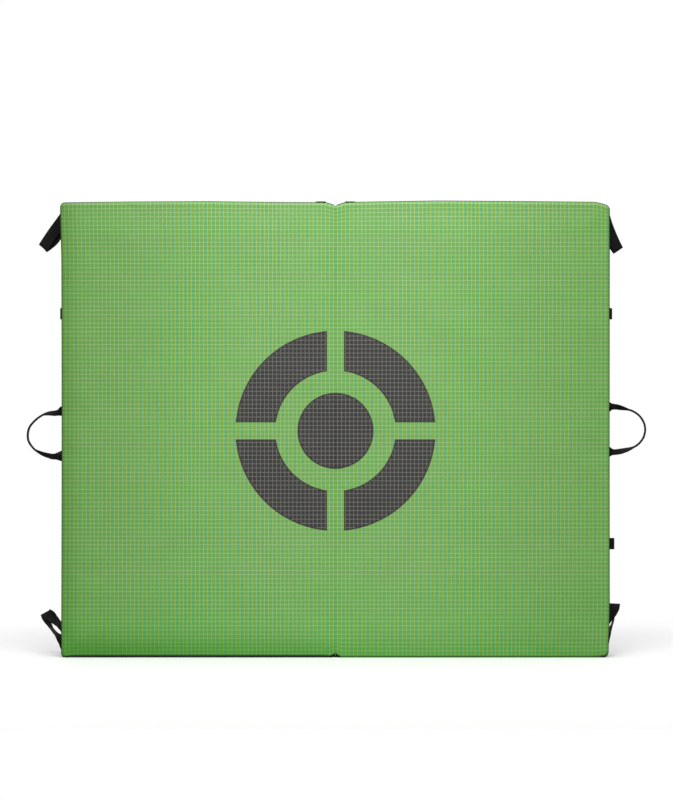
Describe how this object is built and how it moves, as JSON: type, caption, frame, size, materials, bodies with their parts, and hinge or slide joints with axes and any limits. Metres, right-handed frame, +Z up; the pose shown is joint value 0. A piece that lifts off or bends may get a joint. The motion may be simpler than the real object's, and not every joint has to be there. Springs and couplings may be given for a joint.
{
  "type": "bouldering crash pad",
  "caption": "Hinge-fold foam crash pad with fabric cover, webbing handles and loops, closure straps and a carrying harness.",
  "frame": {"origin": "middle of the base of the whole object, standing on its long edge", "axes": "+X along the opened pad, +Y from the landing side to the ground side, +Z up"},
  "size_m": [1.359, 0.12, 0.9921],
  "materials": {
    "ripstop": "green ripstop with a pale thread grid and a dark printed ring",
    "ground_nylon": "heavy coated black nylon",
    "webbing": "black nylon webbing",
    "closed_foam": "grey closed-cell foam",
    "open_foam": "cream open-cell foam",
    "pad_cloth": "black padded cloth",
    "acetal": "black moulded plastic",
    "hardware": "tumbled aluminium"
  },
  "bodies": {
    "left_half": {"left_landing_panel": "ripstop", "left_side_gusset": "ground_nylon", "left_ground_panel": "ground_nylon", "left_top_foam": "closed_foam", "left_core_foam": "open_foam", "left_base_foam": "closed_foam", "left_hinge_webbing": "webbing", "left_zip_tape": "webbing", "left_handle_anchor": "webbing", "left_upper_loop_anchor": "webbing", "left_lower_loop_anchor": "webbing", "upper_receiver_anchor": "webbing", "lower_receiver_anchor": "webbing", "harness_yoke": "ground_nylon", "outer_shoulder_tail": "webbing", "inner_shoulder_tail": "webbing", "outer_lower_anchor": "webbing", "inner_lower_anchor": "webbing", "outer_belt_anchor": "webbing", "inner_belt_anchor": "webbing"},
    "right_half": {"right_landing_panel": "ripstop", "right_side_gusset": "ground_nylon", "right_ground_panel": "ground_nylon", "right_top_foam": "closed_foam", "right_core_foam": "open_foam", "right_base_foam": "closed_foam", "right_hinge_webbing": "webbing", "right_zip_tape": "webbing", "right_handle_anchor": "webbing", "right_upper_loop_anchor": "webbing", "right_lower_loop_anchor": "webbing", "upper_strap_root": "webbing", "lower_strap_root": "webbing"},
    "left_handle": {"left_handle": "webbing"},
    "left_zip_slider": {"left_zip_slider": "hardware"},
    "right_handle": {"right_handle": "webbing"},
    "right_zip_slider": {"right_zip_slider": "hardware"},
    "left_upper_loop": {"left_upper_loop": "webbing"},
    "right_upper_loop": {"right_upper_loop": "webbing"},
    "left_lower_loop": {"left_lower_loop": "webbing"},
    "right_lower_loop": {"right_lower_loop": "webbing"},
    "upper_strap": {"upper_strap": "webbing"},
    "upper_adjuster": {"upper_adjuster": "acetal"},
    "upper_hook": {"upper_hook": "hardware"},
    "upper_receiver": {"upper_receiver": "webbing"},
    "lower_strap": {"lower_strap": "webbing"},
    "lower_adjuster": {"lower_adjuster": "acetal"},
    "lower_hook": {"lower_hook": "hardware"},
    "lower_receiver": {"lower_receiver": "webbing"},
    "outer_shoulder_strap": {"outer_shoulder_pad": "pad_cloth", "outer_ladder_lock": "acetal"},
    "outer_lower_webbing": {"outer_lower_webbing": "webbing"},
    "outer_belt": {"outer_belt": "webbing", "buckle_socket_half": "acetal"},
    "inner_shoulder_strap": {"inner_shoulder_pad": "pad_cloth", "inner_ladder_lock": "acetal"},
    "inner_lower_webbing": {"inner_lower_webbing": "webbing"},
    "inner_belt": {"inner_belt": "webbing", "buckle_tongue_half": "acetal"}
  },
  "joints": [
    {"name": "pad_fold", "type": "hinge", "parent": "left_half", "child": "right_half", "pos_m": [0, -0.061, 0.495], "axis": [0, 0, -1], "range_deg": [0, 179]},
    {"name": "left_handle_swing", "type": "hinge", "parent": "left_half", "child": "left_handle", "pos_m": [-0.599, 0.0312, 0.485], "axis": [0, 0, -1], "range_deg": [-30, 75]},
    {"name": "left_zip", "type": "slide", "parent": "left_half", "child": "left_zip_slider", "axis": [1, 0, 0], "range_m": [0, 0.465]},
    {"name": "right_handle_swing", "type": "hinge", "parent": "right_half", "child": "right_handle", "pos_m": [0.599, 0.0312, 0.495], "axis": [0, 0, 1], "range_deg": [-30, 75]},
    {"name": "right_zip", "type": "slide", "parent": "right_half", "child": "right_zip_slider", "axis": [-1, 0, 0], "range_m": [0, 0.465]},
    {"name": "left_upper_loop_lift", "type": "hinge", "parent": "left_half", "child": "left_upper_loop", "pos_m": [-0.594, 0.0303, 0.9625], "axis": [0.8241, 0, -0.5664], "range_deg": [0, 90]},
    {"name": "right_upper_loop_lift", "type": "hinge", "parent": "right_half", "child": "right_upper_loop", "pos_m": [0.591, 0.0303, 0.96], "axis": [0.9239, 0, 0.3827], "range_deg": [0, 90]},
    {"name": "left_lower_loop_lift", "type": "hinge", "parent": "left_half", "child": "left_lower_loop", "pos_m": [-0.587, 0.0303, 0.034], "axis": [-0.7547, 0, -0.6561], "range_deg": [0, 90]},
    {"name": "right_lower_loop_lift", "type": "hinge", "parent": "right_half", "child": "right_lower_loop", "pos_m": [0.587, 0.0303, 0.034], "axis": [-0.9511, 0, 0.309], "range_deg": [0, 90]},
    {"name": "upper_strap_swing", "type": "hinge", "parent": "right_half", "child": "upper_strap", "pos_m": [0.6075, 0.0312, 0.749], "axis": [0, 0, -1], "range_deg": [0, 270]},
    {"name": "upper_adjuster_slide", "type": "slide", "parent": "upper_strap", "child": "upper_adjuster", "axis": [-1, 0, 0], "range_m": [0, 0.1]},
    {"name": "upper_hook_turn", "type": "hinge", "parent": "upper_strap", "child": "upper_hook", "pos_m": [0.407, 0.0336, 0.749], "axis": [0, 0, -1], "range_deg": [0, 90]},
    {"name": "upper_receiver_lift", "type": "hinge", "parent": "left_half", "child": "upper_receiver", "pos_m": [-0.55, 0.0303, 0.749], "axis": [0, 0, -1], "range_deg": [0, 90]},
    {"name": "lower_strap_swing", "type": "hinge", "parent": "right_half", "child": "lower_strap", "pos_m": [0.6125, 0.0312, 0.244], "axis": [0, 0, -1], "range_deg": [0, 270]},
    {"name": "lower_adjuster_slide", "type": "slide", "parent": "lower_strap", "child": "lower_adjuster", "axis": [-1, 0, 0], "range_m": [0, 0.1]},
    {"name": "lower_hook_turn", "type": "hinge", "parent": "lower_strap", "child": "lower_hook", "pos_m": [0.412, 0.0336, 0.244], "axis": [0, 0, -1], "range_deg": [0, 90]},
    {"name": "lower_receiver_lift", "type": "hinge", "parent": "left_half", "child": "lower_receiver", "pos_m": [-0.55, 0.0303, 0.244], "axis": [0, 0, -1], "range_deg": [0, 90]},
    {"name": "outer_shoulder_lift", "type": "hinge", "parent": "left_half", "child": "outer_shoulder_strap", "pos_m": [-0.3575, 0.0321, 0.8], "axis": [1, 0, 0], "range_deg": [0, 6]},
    {"name": "outer_lower_webbing_lift", "type": "hinge", "parent": "left_half", "child": "outer_lower_webbing", "pos_m": [-0.3575, 0.0321, 0.218], "axis": [-1, 0, 0], "range_deg": [0, 17]},
    {"name": "outer_belt_lift", "type": "hinge", "parent": "left_half", "child": "outer_belt", "pos_m": [-0.3975, 0.0303, 0.3], "axis": [1, 0, 0], "range_deg": [0, 90]},
    {"name": "inner_shoulder_lift", "type": "hinge", "parent": "left_half", "child": "inner_shoulder_strap", "pos_m": [-0.2375, 0.0321, 0.8], "axis": [1, 0, 0], "range_deg": [0, 6]},
    {"name": "inner_lower_webbing_lift", "type": "hinge", "parent": "left_half", "child": "inner_lower_webbing", "pos_m": [-0.2375, 0.0321, 0.218], "axis": [-1, 0, 0], "range_deg": [0, 17]},
    {"name": "inner_belt_lift", "type": "hinge", "parent": "left_half", "child": "inner_belt", "pos_m": [-0.1975, 0.0303, 0.3], "axis": [1, 0, 0], "range_deg": [0, 90]}
  ],
  "couplings": [
    {"joint": "outer_lower_webbing_lift", "follows": "outer_shoulder_lift", "ratio": 2.8},
    {"joint": "inner_lower_webbing_lift", "follows": "inner_shoulder_lift", "ratio": 2.8}
  ]
}
